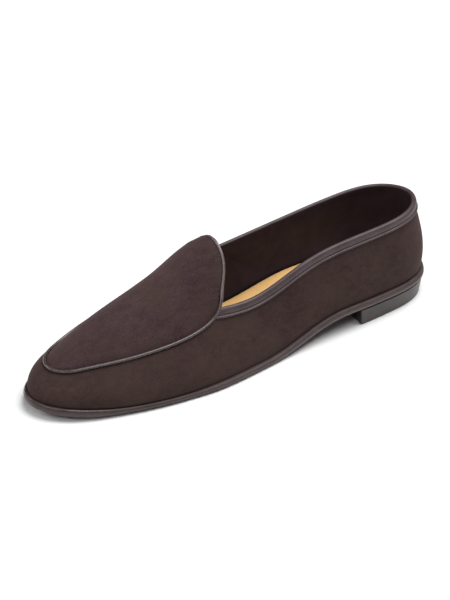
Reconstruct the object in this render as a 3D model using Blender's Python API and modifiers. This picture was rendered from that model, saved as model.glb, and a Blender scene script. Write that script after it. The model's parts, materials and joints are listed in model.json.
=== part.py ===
"""A slip-on loafer for the left foot: a suede upper with a piped apron and a bound collar, on a thin sole.

Sizes are in millimetres and turned into metres when a mesh is made. Across is +X, towards the outer side of
the foot, along runs back from the toe of the sole (+Y), and height is above the floor (+Z).
"""

from collections import namedtuple
import math

import bmesh
import bpy
import numpy as np

MM = 0.001

# Driving dimensions
SHOE_LENGTH = 294.0  # toe of the sole to its heel
BALL_WIDTH = 88.0  # upper at the ball, on the sole
INSTEP_HEIGHT = 77.0  # top of the apron's tab above the floor
HEEL_HEIGHT = 12.0
TOE_SPRING = 5.0

UPPER_WALL = 1.8
OUTSOLE_THICKNESS = 4.0
INSOLE_THICKNESS = 2.2
SOLE_LEDGE = 2.6  # how far the outsole stands out past the upper
BALL_LEDGE = 1.6  # the same at the outer ball, where the upper is fullest
TREAD_ROUND = 0.9  # outsole's lower edge
LEDGE_ROUND = 0.6  # outsole's upper edge
INSOLE_ROUND = 0.5
WELT_HEIGHT = 1.6
BALL_WELT_HEIGHT = 0.8
PIPING_RADIUS = 1.0
SEAM_GROOVE = 1.0  # depth of the valley that the piping lies in
SEAM_REACH = 2.2  # half the width of that valley
BINDING_DEPTH = 6.2  # on the outside of the collar
BINDING_LINING = 4.5  # on the inside of the collar
BINDING_LEATHER = 0.8
BEAD_WIDTH = 1.5  # roll along the binding's lower edge
BEAD_HEIGHT = 1.6
BINDING_FRONT = 1.0  # from the seam's line back to the binding's front ends
BINDING_FRONT_LIFT = 0.35  # how much further its front ends stand off the wall
LINING_SETBACK = 6.5  # from the seam's line back to the binding's inside
HEEL_INSET = 1.0  # heel block inside the outsole's edge
HEEL_TAPER = 1.6
HEEL_BREAST_HOLLOW = 3.0
HEEL_EDGE_WEAR = 0.5
GAP = 0.3  # between pieces that touch

# The sole's line along the foot, as shares of the length
ROCKER_END = 0.24
WAIST_START = 0.50
HEEL_SEAT_START = 0.72
HEEL_BREAST = 0.745

# Shares that set how full the wall and the apron are
WALL_LOW_FULLNESS = 0.42
WALL_HIGH_FULLNESS = 0.36
CROWN_FULLNESS = 2.1

# Mesh density
FRONT_RIBS_PER_ROW = 4
BACK_RIBS_PER_ROW = 6
WALL_LEVELS = 7
APRON_COLUMNS = 13
TAB_STEPS_PER_ROW = 2
SOLE_COLUMNS = 4
PIPING_POINTS_PER_ROW = 4
BREAST_POINTS = 6

# Each row is one section of the wall, from the sole up to its top edge. Across is a share of half the ball
# width, along a share of the length and edge height a share of the instep height. Flare is how far the wall
# leans out over the sole, and lean how steep it is at its top edge, in degrees.
Rib = namedtuple("Rib", "name foot_across foot_along edge_across edge_along edge_height flare lean")

TOE_RIB = Rib("toe", 0.06, 0.009, 0.045, 0.054, 0.318, 9, 36)
HEEL_RIB = Rib("heel", 0.0, 0.991, 0.0, 0.972, 0.851, 13, 76)
OUTER_RIBS = (
    Rib("toe_corner", 0.395, 0.025, 0.305, 0.0765, 0.325, 9, 40),
    Rib("little_toe", 0.625, 0.065, 0.400, 0.108, 0.338, 10, 46),
    Rib("forefoot", 0.890, 0.160, 0.560, 0.180, 0.364, 12, 50),
    Rib("ball_front", 1.035, 0.272, 0.690, 0.272, 0.403, 13, 53),
    Rib("ball", 1.060, 0.354, 0.725, 0.351, 0.457, 13, 58),
    Rib("throat", 1.020, 0.425, 0.640, 0.411, 0.572, 12, 70),
    Rib("waist", 0.905, 0.535, 0.660, 0.484, 0.564, 10, 80),
    Rib("heel_front", 0.800, 0.670, 0.650, 0.628, 0.734, 9, 86),
    Rib("heel_side", 0.715, 0.857, 0.597, 0.832, 0.812, 10, 84),
    Rib("heel_corner", 0.475, 0.959, 0.400, 0.939, 0.842, 12, 79),
)
INNER_RIBS = (
    Rib("toe_corner", -0.21, 0.026, -0.190, 0.068, 0.324, 10, 29),
    Rib("great_toe", -0.48, 0.075, -0.370, 0.105, 0.324, 12, 30),
    Rib("forefoot", -0.78, 0.171, -0.560, 0.180, 0.348, 13, 42),
    Rib("ball_front", -0.94, 0.272, -0.665, 0.272, 0.400, 13, 53),
    Rib("ball", -0.94, 0.352, -0.705, 0.351, 0.465, 13, 58),
    Rib("throat", -0.775, 0.450, -0.640, 0.417, 0.602, 12, 70),
    Rib("waist", -0.685, 0.555, -0.620, 0.505, 0.650, 10, 80),
    Rib("heel_front", -0.660, 0.725, -0.600, 0.690, 0.740, 9, 86),
    Rib("heel_side", -0.675, 0.857, -0.580, 0.832, 0.803, 10, 84),
    Rib("heel_corner", -0.455, 0.959, -0.390, 0.939, 0.840, 12, 79),
)
THROAT = 6  # row where the apron's seam meets the collar, counted from the toe

# Rows between which the ledge narrows before the outer ball and widens again behind it
LEDGE_NARROWS = (2.1, 3.0)
LEDGE_WIDENS = (4.2, 5.3)

# The apron's ridge, at the toe and at each rib as far as the throat
Ridge = namedtuple("Ridge", "name along height")
APRON_RIDGE = (
    Ridge("toe", 0.056, 0.318),
    Ridge("toe_corner", 0.072, 0.365),
    Ridge("little_toe", 0.112, 0.454),
    Ridge("forefoot", 0.190, 0.578),
    Ridge("ball_front", 0.275, 0.693),
    Ridge("ball", 0.350, 0.813),
    Ridge("throat", 0.418, 0.959),
)

# The apron's free tab behind the throat: its two edges and its ridge, as far as the peak
TAB_COLUMNS = "name outer_across inner_across edge_along edge_height ridge_along ridge_height"
TabRow = namedtuple("TabRow", TAB_COLUMNS)
TAB = (
    TabRow("shoulder", 0.56, -0.55, 0.425, 0.682, 0.433, 0.975),
    TabRow("bend", 0.375, -0.37, 0.4485, 0.853, 0.445, 0.984),
    TabRow("crest", 0.170, -0.165, 0.4540, 0.966, 0.451, 0.990),
    TabRow("peak", 0.0, 0.0, 0.4545, 0.992, 0.4545, 0.992),
)

HALF_BALL = BALL_WIDTH / 2
RING = (TOE_RIB, *OUTER_RIBS, HEEL_RIB, *reversed(INNER_RIBS))
RING_ROWS = len(RING)
HEEL = RING_ROWS // 2
INNER_THROAT = RING_ROWS - THROAT
PEAK = THROAT + len(TAB)
APRON_ROWS = 2 * PEAK


# Curves and small vector helpers


def cubic_spline(points, closed):
    """A smooth curve through the points. Whole values of its parameter give the points themselves."""
    points = np.asarray(points, float)
    count = len(points)
    ahead = np.roll(points, -1, axis=0)
    span = np.linalg.norm(ahead - points, axis=1)
    system = np.zeros((count, count))
    pull = np.zeros_like(points)
    for row in range(count):
        if not closed and row in (0, count - 1):
            system[row, row] = 1.0
            continue
        after = (row + 1) % count
        system[row, row - 1] += span[row - 1] / 6
        system[row, row] += (span[row - 1] + span[row]) / 3
        system[row, after] += span[row] / 6
        pull[row] = (points[after] - points[row]) / span[row]
        pull[row] -= (points[row] - points[row - 1]) / span[row - 1]
    bend = np.linalg.solve(system, pull)

    def curve(at):
        at = np.asarray(at, float)
        first = np.floor(at).astype(int)
        if not closed:
            first = np.clip(first, 0, count - 2)
        share = (at - first)[..., None]
        rest = 1 - share
        first = first % count
        second = (first + 1) % count
        reach = span[first][..., None] ** 2 / 6
        chord = rest * points[first] + share * points[second]
        return chord + reach * ((rest**3 - rest) * bend[first] + (share**3 - share) * bend[second])

    return curve


def ease(share):
    share = np.clip(share, 0.0, 1.0)
    return share * share * (3 - 2 * share)


def unit(vectors):
    return vectors / np.linalg.norm(vectors, axis=-1, keepdims=True)


def level(plan, height):
    """Points of a plan outline, given a height."""
    height = np.broadcast_to(height, plan.shape[:-1])
    return np.concatenate([plan, height[..., None]], axis=-1)


# Lines of the last


def edge_point(rib):
    return (rib.edge_across * HALF_BALL, rib.edge_along * SHOE_LENGTH, rib.edge_height * INSTEP_HEIGHT)


def tab_point(row, across):
    return (across * HALF_BALL, row.edge_along * SHOE_LENGTH, row.edge_height * INSTEP_HEIGHT)


def foot_point(rib):
    return (rib.foot_across * HALF_BALL, rib.foot_along * SHOE_LENGTH)


foot_line = cubic_spline([foot_point(rib) for rib in RING], closed=True)
lean_line = cubic_spline([(rib.flare, rib.lean) for rib in RING], closed=True)
smooth_edge_line = cubic_spline([edge_point(rib) for rib in RING], closed=True)
collar_line = cubic_spline([edge_point(rib) for rib in RING[THROAT : INNER_THROAT + 1]], closed=False)
apron_line = cubic_spline(
    [edge_point(rib) for rib in RING[: THROAT + 1]]
    + [tab_point(row, row.outer_across) for row in TAB]
    + [tab_point(row, row.inner_across) for row in reversed(TAB[:-1])]
    + [edge_point(rib) for rib in RING[INNER_THROAT:]],
    closed=True,
)
ridge_line = cubic_spline(
    [(row.along * SHOE_LENGTH, row.height * INSTEP_HEIGHT) for row in APRON_RIDGE]
    + [(row.ridge_along * SHOE_LENGTH, row.ridge_height * INSTEP_HEIGHT) for row in TAB],
    closed=False,
)


def sole_bottom(along):
    """Height of the outsole's underside: toe spring, flat tread, the rise of the waist and the heel seat."""
    share = np.asarray(along, float) / SHOE_LENGTH
    rocker = np.clip((ROCKER_END - share) / ROCKER_END, 0, 1) ** 2
    rise = ease((share - WAIST_START) / (HEEL_SEAT_START - WAIST_START))
    return TOE_SPRING * rocker + HEEL_HEIGHT * rise


def sole_top(along):
    return sole_bottom(along) + OUTSOLE_THICKNESS


def foot_normal(at):
    """The level way out of the foot's outline."""
    step = 0.02
    way = foot_line(at + step) - foot_line(at - step)
    return unit(np.stack([way[..., 1], -way[..., 0]], axis=-1))


def outline(at, grow):
    """The foot's outline in plan, moved out by grow."""
    return foot_line(at) + np.asarray(grow)[..., None] * foot_normal(at)


def outer_ball(at):
    """How near a place is to the outer ball: 1 along it, 0 away from it."""
    narrowed = ease((at - LEDGE_NARROWS[0]) / (LEDGE_NARROWS[1] - LEDGE_NARROWS[0]))
    widened = ease((at - LEDGE_WIDENS[0]) / (LEDGE_WIDENS[1] - LEDGE_WIDENS[0]))
    return narrowed * (1 - widened)


def ledge(at):
    return SOLE_LEDGE + (BALL_LEDGE - SOLE_LEDGE) * outer_ball(at)


def wall_edge(at):
    """The wall's top edge: the apron's seam ahead of the throat, the collar behind it."""
    at = np.asarray(at, float) % RING_ROWS
    seam = apron_line(np.where(at < HEEL, at, at - RING_ROWS))
    behind = (at > THROAT) & (at < INNER_THROAT)
    return np.where(behind[..., None], collar_line(at - THROAT), seam)


def wall(at, up):
    """A point of the upper's outer wall, at a place round the shoe, from the sole (0) up to its edge (1)."""
    at, up = np.broadcast_arrays(np.asarray(at, float), np.asarray(up, float))
    plan = foot_line(at)
    foot = level(plan, sole_top(plan[..., 1]) + GAP)
    edge = wall_edge(at)
    out = level(foot_normal(at), 0.0)
    above = np.array([0.0, 0.0, 1.0])
    angles = np.radians(lean_line(at))
    flare, lean = angles[..., :1], angles[..., 1:]
    soft_edge = smooth_edge_line(at)
    reach = np.linalg.norm(soft_edge - foot, axis=-1, keepdims=True)
    low = foot + WALL_LOW_FULLNESS * reach * (np.sin(flare) * out + np.cos(flare) * above)
    high = soft_edge + WALL_HIGH_FULLNESS * reach * (np.cos(lean) * out - np.sin(lean) * above)
    up = up[..., None]
    down = 1 - up
    return down**3 * foot + 3 * down**2 * up * low + 3 * down * up**2 * high + up**3 * edge


def apron(row, side):
    """A point of the uncut apron, from toe to peak and from its inner edge (-1) to its outer edge (1)."""
    row, side = np.broadcast_arrays(np.asarray(row, float), np.asarray(side, float))
    outer, inner = apron_line(row), apron_line(-row)
    middle = (outer + inner) / 2
    ridge = np.concatenate([middle[..., :1], ridge_line(row)], axis=-1)
    chord = middle + side[..., None] * (outer - inner) / 2
    return chord + (ridge - middle) * (1 - np.abs(side) ** CROWN_FULLNESS)[..., None]


def apron_frame(at):
    """On the apron's outline: the surface's outer normal, and the way out of the apron in its surface."""
    at = np.asarray(at, float) % APRON_ROWS
    outer_half = at <= PEAK
    row = np.where(outer_half, at, APRON_ROWS - at)
    step = 0.03
    forward = unit(apron_line(at + step) - apron_line(at - step))
    near_edge = 0.94
    spread = near_edge * ease(row) * ease(PEAK - row)
    inside = apron(np.clip(row, 0.2, PEAK - 0.4), np.where(outer_half, spread, -spread))
    normal = unit(np.cross(forward, inside - apron_line(at)))
    ring = np.where(outer_half, np.minimum(row, THROAT), RING_ROWS - np.minimum(row, THROAT))
    wall_normal = unit(np.cross(forward, wall(ring, 1.0) - wall(ring, near_edge)))
    on_seam = (row <= THROAT)[..., None]
    normal = np.where(on_seam, unit(normal + wall_normal), normal)
    return normal, np.cross(forward, normal)


def cut_apron(row, side):
    """A point of the apron, with the tab cut back to leave room for the piping round its free edge."""
    row, side = np.broadcast_arrays(np.asarray(row, float), np.asarray(side, float))
    behind = np.clip((row - THROAT) / (PEAK - THROAT), 0, 1)[..., None]
    cut = (PIPING_RADIUS + GAP) * ease(8 * behind)
    edge_way = apron_frame(np.where(side > 0, row, -row))[1]
    peak_way = apron_frame(float(PEAK))[1] * behind
    edge_share = (side**2)[..., None]
    return apron(row, side) - cut * (edge_share * edge_way + (1 - edge_share) * peak_way)


# Mesh making


def add_object(name, mesh, material, collection, root):
    piece = bpy.data.objects.new(name, mesh)
    piece.data.materials.append(material)
    piece.parent = root
    collection.objects.link(piece)
    return piece


def add_row(bm, points):
    return [bm.verts.new(point) for point in np.asarray(points) * MM]


def skin(bm, first, second, closed):
    """Faces between two rows of vertices. A row of one vertex is a point that the faces fan out from."""
    count = max(len(first), len(second))
    for index in range(count if closed else count - 1):
        after = (index + 1) % count
        corners = []
        for row, places in ((first, (index, after)), (second, (after, index))):
            for place in places:
                corner = row[place % len(row)]
                if corner not in corners:
                    corners.append(corner)
        bm.faces.new(corners)


def finish_mesh(bm, name):
    bmesh.ops.recalc_face_normals(bm, faces=bm.faces)
    mesh = bpy.data.meshes.new(name)
    bm.to_mesh(mesh)
    bm.free()
    mesh.shade_smooth()
    mesh.set_sharp_from_angle(angle=math.radians(40))
    return mesh


def loft_rings(name, rings):
    """A tube through closed rings of points, itself closed on the first ring."""
    bm = bmesh.new()
    rows = [add_row(bm, ring) for ring in rings]
    for first, second in zip(rows, rows[1:] + rows[:1]):
        skin(bm, first, second, closed=True)
    return finish_mesh(bm, name)


def plate(name, rings, bottom, top):
    """A sole-shaped plate: rings of points up its side, closed below and above by rows across the foot."""
    bm = bmesh.new()
    rows = [add_row(bm, ring) for ring in rings]
    for first, second in zip(rows, rows[1:]):
        skin(bm, first, second, closed=True)
    count = len(rows[0])
    shares = np.linspace(0, 1, SOLE_COLUMNS + 1)[1:-1, None]
    for row, ring, height in ((rows[0], rings[0], bottom), (rows[-1], rings[-1], top)):
        ladder = [[row[0]]]
        for place in range(1, count // 2):
            outer, inner = ring[place], ring[-place]
            plan = (outer + (inner - outer) * shares)[:, :2]
            middle = add_row(bm, level(plan, height(plan[:, 1])))
            ladder.append([row[place], *middle, row[-place]])
        ladder.append([row[count // 2]])
        for first, second in zip(ladder, ladder[1:]):
            skin(bm, first, second, closed=False)
    return finish_mesh(bm, name)


def ring_places():
    """Places of the ribs round the shoe, from the toe by the outer side to the heel and back by the inner."""
    front = np.arange(THROAT * FRONT_RIBS_PER_ROW) / FRONT_RIBS_PER_ROW
    back = THROAT + np.arange((HEEL - THROAT) * BACK_RIBS_PER_ROW) / BACK_RIBS_PER_ROW
    outer = np.concatenate([front, back])
    return np.concatenate([outer, [HEEL], RING_ROWS - outer[:0:-1]])


# Pieces


def upper_mesh():
    """The wall and the apron as one open surface: apron and wall share the seam's vertices."""
    bm = bmesh.new()
    places = ring_places()
    seamed = (places <= THROAT) | (places >= INNER_THROAT)
    length = np.linalg.norm(wall(places, 1.0) - wall(places, 0.0), axis=-1)
    levels = np.linspace(0, 1, WALL_LEVELS)[:, None] * (1 - SEAM_REACH / length)
    rows = [add_row(bm, wall(places, up)) for up in levels]
    nearest_row = np.minimum(np.minimum(places, RING_ROWS - places), THROAT)
    seam_places = np.where(places < HEEL, nearest_row, -nearest_row)
    valley = SEAM_GROOVE * seamed[:, None] * apron_frame(seam_places)[0]
    rows.append(add_row(bm, wall(places, 1.0) - valley))
    for first, second in zip(rows, rows[1:]):
        skin(bm, first, second, closed=True)

    seam = rows[-1]
    front = np.arange(1, THROAT * FRONT_RIBS_PER_ROW + 1) / FRONT_RIBS_PER_ROW
    tab = THROAT + np.arange(1, (PEAK - THROAT) * TAB_STEPS_PER_ROW) / TAB_STEPS_PER_ROW
    ladder = [[seam[0]]]
    for row in np.concatenate([front, tab]):
        half_width = np.linalg.norm(apron_line(row) - apron_line(-row)) / 2
        border = max(1 - SEAM_REACH / half_width, 0.7)
        inner_to_outer = cut_apron(row, np.linspace(-border, border, APRON_COLUMNS))
        if row <= THROAT:
            place = round(row * FRONT_RIBS_PER_ROW)
            ends = seam[-place], seam[place]
        else:
            ends = add_row(bm, cut_apron(row, np.array([-1.0, 1.0])))
        ladder.append([ends[0], *add_row(bm, inner_to_outer), ends[1]])
    ladder.append(add_row(bm, cut_apron(np.array([float(PEAK)]), 0.0)))
    for first, second in zip(ladder, ladder[1:]):
        skin(bm, first, second, closed=False)
    return finish_mesh(bm, "upper")


def thicken(upper):
    solidify = upper.modifiers.new("wall", "SOLIDIFY")
    solidify.thickness = UPPER_WALL * MM
    solidify.offset = -1.0
    solidify.use_even_offset = True
    solidify.use_quality_normals = True


def piping_curve():
    """A round cord that lies in the seam's valley, leaves it behind the throat and edges the tab."""
    at = np.arange(APRON_ROWS * PIPING_POINTS_PER_ROW) / PIPING_POINTS_PER_ROW
    row = np.where(at <= PEAK, at, APRON_ROWS - at)
    over_valley = (PIPING_RADIUS + GAP) * math.hypot(SEAM_GROOVE, SEAM_REACH) / SEAM_REACH - SEAM_GROOVE
    beside_edge = -UPPER_WALL / 2
    leave_valley = THROAT + 0.4
    lift = over_valley + (beside_edge - over_valley) * ease(row - leave_valley)
    route = (apron_line(at) + lift[:, None] * apron_frame(at)[0]) * MM
    cord = bpy.data.curves.new("apron_piping", "CURVE")
    cord.dimensions = "3D"
    cord.bevel_depth = PIPING_RADIUS * MM
    cord.bevel_resolution = 2
    spline = cord.splines.new("POLY")
    spline.points.add(len(route) - 1)
    for point, place in zip(spline.points, route):
        point.co = (*place, 1.0)
    spline.use_cyclic_u = True
    return cord


def binding_profile():
    """The binding's section, folded over the collar: distance out of the wall, depth below its edge."""
    outside = GAP + BINDING_LEATHER
    inside = -UPPER_WALL - GAP
    lining = inside - BINDING_LEATHER
    bead = GAP + BEAD_WIDTH
    fold = 0.75 * BINDING_LEATHER
    section = [
        (GAP, BINDING_DEPTH),
        (bead - 0.25 * BEAD_HEIGHT, BINDING_DEPTH),
        (bead, BINDING_DEPTH - 0.45 * BEAD_HEIGHT),
        (bead - 0.2 * BEAD_HEIGHT, BINDING_DEPTH - 0.8 * BEAD_HEIGHT),
        (outside, BINDING_DEPTH - BEAD_HEIGHT),
        (outside, fold),
        (outside - fold, -fold),
        (-UPPER_WALL / 2, -GAP - BINDING_LEATHER),
        (lining + fold, -fold),
        (lining, fold),
        (lining, BINDING_LINING),
        (inside, BINDING_LINING),
        (inside, -GAP),
        (GAP, -GAP),
    ]
    return np.array(section)


def binding_mesh():
    """The binding's section swept round the collar. Its front ends slant to lie beside the apron's piping."""
    profile = binding_profile()
    depth = profile[:, 1]
    is_outside = profile[:, 0] > 0
    places = ring_places()
    on_collar = (places >= THROAT) & (places <= INNER_THROAT)
    step = 0.02
    stations = np.clip(places[on_collar], THROAT + step, INNER_THROAT - step)
    edge = collar_line(stations - THROAT)
    way = unit(collar_line(stations - THROAT + step) - collar_line(stations - THROAT - step))
    down = unit(wall(stations, 0.95) - wall(stations, 1.0))
    out = unit(np.cross(down, way))
    rib_length = np.linalg.norm(wall(stations, 1.0) - wall(stations, 0.0), axis=-1)

    shift = np.zeros((len(stations), len(profile)))
    off_wall = np.tile(profile[:, 0], (len(stations), 1))
    for end, seam_place, sign in ((0, THROAT, 1.0), (-1, -THROAT, -1.0)):
        piping_way = unit(apron_line(seam_place - 0.1) - apron_line(seam_place + 0.1))
        slant = np.dot(piping_way, way[end]) / np.dot(piping_way, down[end])
        travelled = np.linalg.norm(edge - edge[end], axis=-1)[:, None]
        fade = 1 - ease(travelled / (3 * BINDING_DEPTH))
        outside_shift = slant * depth + sign * BINDING_FRONT
        shift += fade * np.where(is_outside, outside_shift, sign * LINING_SETBACK)
        off_wall += fade * np.where(is_outside, BINDING_FRONT_LIFT, 0.0)

    bm = bmesh.new()
    rows = []
    for index, place in enumerate(stations):
        climb = 3 * WALL_HIGH_FULLNESS * rib_length[index]
        base = wall(place, 1 - np.maximum(depth, 0.0) / climb)
        base = base + np.minimum(depth, 0.0)[:, None] * down[index]
        moved = off_wall[index][:, None] * out[index] + shift[index][:, None] * way[index]
        rows.append(add_row(bm, base + moved))
    for first, second in zip(rows, rows[1:]):
        skin(bm, first, second, closed=True)
    bm.faces.new(rows[0])
    bm.faces.new(rows[-1])
    return finish_mesh(bm, "collar_binding")


def welt_mesh():
    """A small roll round the foot of the upper, on the outsole's ledge: distance out, share of its height."""
    at = ring_places()
    inner = 1.5 * GAP
    outer = ledge(at) - LEDGE_ROUND
    width = outer - inner
    height = WELT_HEIGHT + (BALL_WELT_HEIGHT - WELT_HEIGHT) * outer_ball(at)
    section = (
        (inner, 0.0),
        (outer, 0.0),
        (outer + 0.1 * width, 0.45),
        (outer - 0.15 * width, 0.9),
        (inner + 0.5 * width, 1.0),
        (inner + 0.1 * width, 0.6),
    )
    rings = []
    for grow, share in section:
        plan = outline(at, grow)
        rings.append(level(plan, sole_top(plan[:, 1]) + GAP + share * height))
    return loft_rings("welt", rings)


def outsole_mesh():
    at = ring_places()
    tread = outline(at, ledge(at) - TREAD_ROUND)
    side = outline(at, ledge(at))
    rim = outline(at, ledge(at) - LEDGE_ROUND)
    rings = (
        level(tread, sole_bottom(tread[:, 1])),
        level(side, sole_bottom(side[:, 1]) + TREAD_ROUND),
        level(side, sole_top(side[:, 1]) - LEDGE_ROUND),
        level(rim, sole_top(rim[:, 1])),
    )
    return plate("outsole", rings, sole_bottom, sole_top)


def insole_seat(along):
    return sole_top(along) + GAP


def insole_face(along):
    return insole_seat(along) + INSOLE_THICKNESS


def insole_mesh():
    at = ring_places()
    rim = outline(at, -UPPER_WALL - 2 * GAP)
    face = outline(at, -UPPER_WALL - 2 * GAP - INSOLE_ROUND)
    rings = (
        level(rim, insole_seat(rim[:, 1])),
        level(rim, insole_face(rim[:, 1]) - INSOLE_ROUND),
        level(face, insole_face(face[:, 1])),
    )
    return plate("insole", rings, insole_seat, insole_face)


def heel_mesh():
    """A low block under the heel seat, hollowed at its breast and drawn in towards the floor."""
    plan = outline(ring_places(), SOLE_LEDGE - HEEL_INSET)
    rear = plan[plan[:, 1] > HEEL_BREAST * SHOE_LENGTH]
    outer, inner = rear[0], rear[-1]
    shares = np.linspace(0, 1, BREAST_POINTS + 2)[1:-1]
    breast = inner + (outer - inner) * shares[:, None]
    breast[:, 1] += HEEL_BREAST_HOLLOW * (1 - (2 * shares - 1) ** 2)
    seat = np.concatenate([rear, breast])
    tread = seat + HEEL_TAPER * unit(seat.mean(axis=0) - seat)
    bm = bmesh.new()
    top = add_row(bm, level(seat, HEEL_HEIGHT - GAP))
    bottom = add_row(bm, level(tread, 0.0))
    skin(bm, top, bottom, closed=True)
    bm.faces.new(top)
    bm.faces.new(bottom)
    return finish_mesh(bm, "heel")


def wear_edges(heel):
    bevel = heel.modifiers.new("worn_edges", "BEVEL")
    bevel.width = HEEL_EDGE_WEAR * MM
    bevel.segments = 1
    bevel.limit_method = "ANGLE"
    bevel.angle_limit = math.radians(50)


def make_material(name, colour, roughness):
    material = bpy.data.materials.new(name)
    material.use_nodes = True
    shader = material.node_tree.nodes["Principled BSDF"]
    shader.inputs["Base Color"].default_value = (*colour, 1.0)
    shader.inputs["Roughness"].default_value = roughness
    shader.inputs["Metallic"].default_value = 0.0
    return material


def centre_on_floor(root, pieces):
    """Moves the shoe so that the middle of its box stands over the origin."""
    bpy.context.view_layer.update()
    graph = bpy.context.evaluated_depsgraph_get()
    corners = []
    for piece in pieces:
        mesh = piece.evaluated_get(graph).to_mesh()
        places = np.empty(len(mesh.vertices) * 3)
        mesh.vertices.foreach_get("co", places)
        corners.append(places.reshape(-1, 3))
        piece.evaluated_get(graph).to_mesh_clear()
    every = np.concatenate(corners)
    middle = (every.min(axis=0) + every.max(axis=0)) / 2
    root.location = (-middle[0], -middle[1], 0.0)


def main():
    for old in list(bpy.data.objects):
        bpy.data.objects.remove(old, do_unlink=True)
    collection = bpy.data.collections.new("loafer")
    bpy.context.scene.collection.children.link(collection)
    root = bpy.data.objects.new("loafer_root", None)
    collection.objects.link(root)

    finishes = (
        ("upper", upper_mesh(), make_material("brown_suede", (0.075, 0.047, 0.036), 0.95)),
        ("apron_piping", piping_curve(), make_material("piping_leather", (0.075, 0.052, 0.044), 0.40)),
        ("collar_binding", binding_mesh(), make_material("binding_leather", (0.070, 0.048, 0.041), 0.42)),
        ("insole", insole_mesh(), make_material("tan_insole_leather", (0.42, 0.24, 0.13), 0.55)),
        ("welt", welt_mesh(), make_material("welt_leather", (0.055, 0.034, 0.028), 0.40)),
        ("outsole", outsole_mesh(), make_material("sole_edge_leather", (0.050, 0.030, 0.024), 0.45)),
        ("heel", heel_mesh(), make_material("stacked_heel_leather", (0.040, 0.026, 0.021), 0.50)),
    )
    pieces = {}
    for name, shape, material in finishes:
        pieces[name] = add_object(name, shape, material, collection, root)
    thicken(pieces["upper"])
    wear_edges(pieces["heel"])
    centre_on_floor(root, pieces.values())


main()
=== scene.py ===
import json
import math

import bpy
import numpy as np
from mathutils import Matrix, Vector
from mathutils.bvhtree import BVHTree

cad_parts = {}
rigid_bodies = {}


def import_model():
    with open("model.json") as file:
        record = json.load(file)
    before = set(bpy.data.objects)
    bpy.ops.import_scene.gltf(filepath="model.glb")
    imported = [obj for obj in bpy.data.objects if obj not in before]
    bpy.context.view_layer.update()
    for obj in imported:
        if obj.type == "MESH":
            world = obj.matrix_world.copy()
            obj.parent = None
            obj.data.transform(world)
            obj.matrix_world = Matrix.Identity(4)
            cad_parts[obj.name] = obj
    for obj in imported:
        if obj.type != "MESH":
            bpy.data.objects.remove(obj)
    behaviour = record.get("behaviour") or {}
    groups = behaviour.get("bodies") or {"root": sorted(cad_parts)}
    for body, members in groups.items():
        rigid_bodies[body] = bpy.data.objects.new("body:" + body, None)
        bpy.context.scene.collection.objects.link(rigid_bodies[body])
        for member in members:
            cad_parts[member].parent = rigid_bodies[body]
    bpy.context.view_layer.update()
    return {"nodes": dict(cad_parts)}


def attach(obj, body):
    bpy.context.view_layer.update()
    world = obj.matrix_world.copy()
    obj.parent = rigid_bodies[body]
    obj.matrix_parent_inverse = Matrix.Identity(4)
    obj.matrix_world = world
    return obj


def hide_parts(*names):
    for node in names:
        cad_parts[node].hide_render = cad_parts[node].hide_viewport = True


for old in list(bpy.data.objects):
    bpy.data.objects.remove(old, do_unlink=True)
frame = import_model()
mm = 0.001
print("frame loaded:", len(frame["nodes"]), "pieces")

# the shoe's own sizes in mm, which the lines below are shares of
shoe = {
    "halfBall": 44.0,
    "length": 294.0,
    "instep": 77.0,
    "originAcross": 2.159,  # from the toe's middle line
    "originAlong": 147.004,  # back from the toe of the sole
}
# a line along the middle of the foot in mm, which rises from the toe to the heel
footLine = {"across": -2, "halfLength": 112, "toeHeight": 14, "rise": 0.055}

# across, along and height of the apron's seam, round from the toe by the outer side
seamRows = (
    (0.045, 0.054, 0.318),
    (0.305, 0.0765, 0.325),
    (0.400, 0.108, 0.338),
    (0.560, 0.180, 0.364),
    (0.690, 0.272, 0.403),
    (0.725, 0.351, 0.457),
    (0.640, 0.411, 0.572),  # throat, outer side
    (0.560, 0.425, 0.682),
    (0.375, 0.4485, 0.853),
    (0.170, 0.454, 0.966),
    (0.000, 0.4545, 0.992),  # peak of the tab
    (-0.165, 0.454, 0.966),
    (-0.370, 0.4485, 0.853),
    (-0.550, 0.425, 0.682),
    (-0.640, 0.417, 0.602),  # throat, inner side
    (-0.705, 0.351, 0.465),
    (-0.665, 0.272, 0.400),
    (-0.560, 0.180, 0.348),
    (-0.370, 0.105, 0.324),
    (-0.190, 0.068, 0.324),
)
outerThroat, innerThroat = 6, 14

# the collar's edge, from the outer throat round the heel to the inner throat
collarRows = (
    (0.640, 0.411, 0.572),
    (0.660, 0.484, 0.564),
    (0.650, 0.628, 0.734),
    (0.597, 0.832, 0.812),
    (0.400, 0.939, 0.842),
    (0.000, 0.972, 0.851),
    (-0.390, 0.939, 0.840),
    (-0.580, 0.832, 0.803),
    (-0.600, 0.690, 0.740),
    (-0.620, 0.505, 0.650),
    (-0.640, 0.417, 0.602),
)


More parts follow.
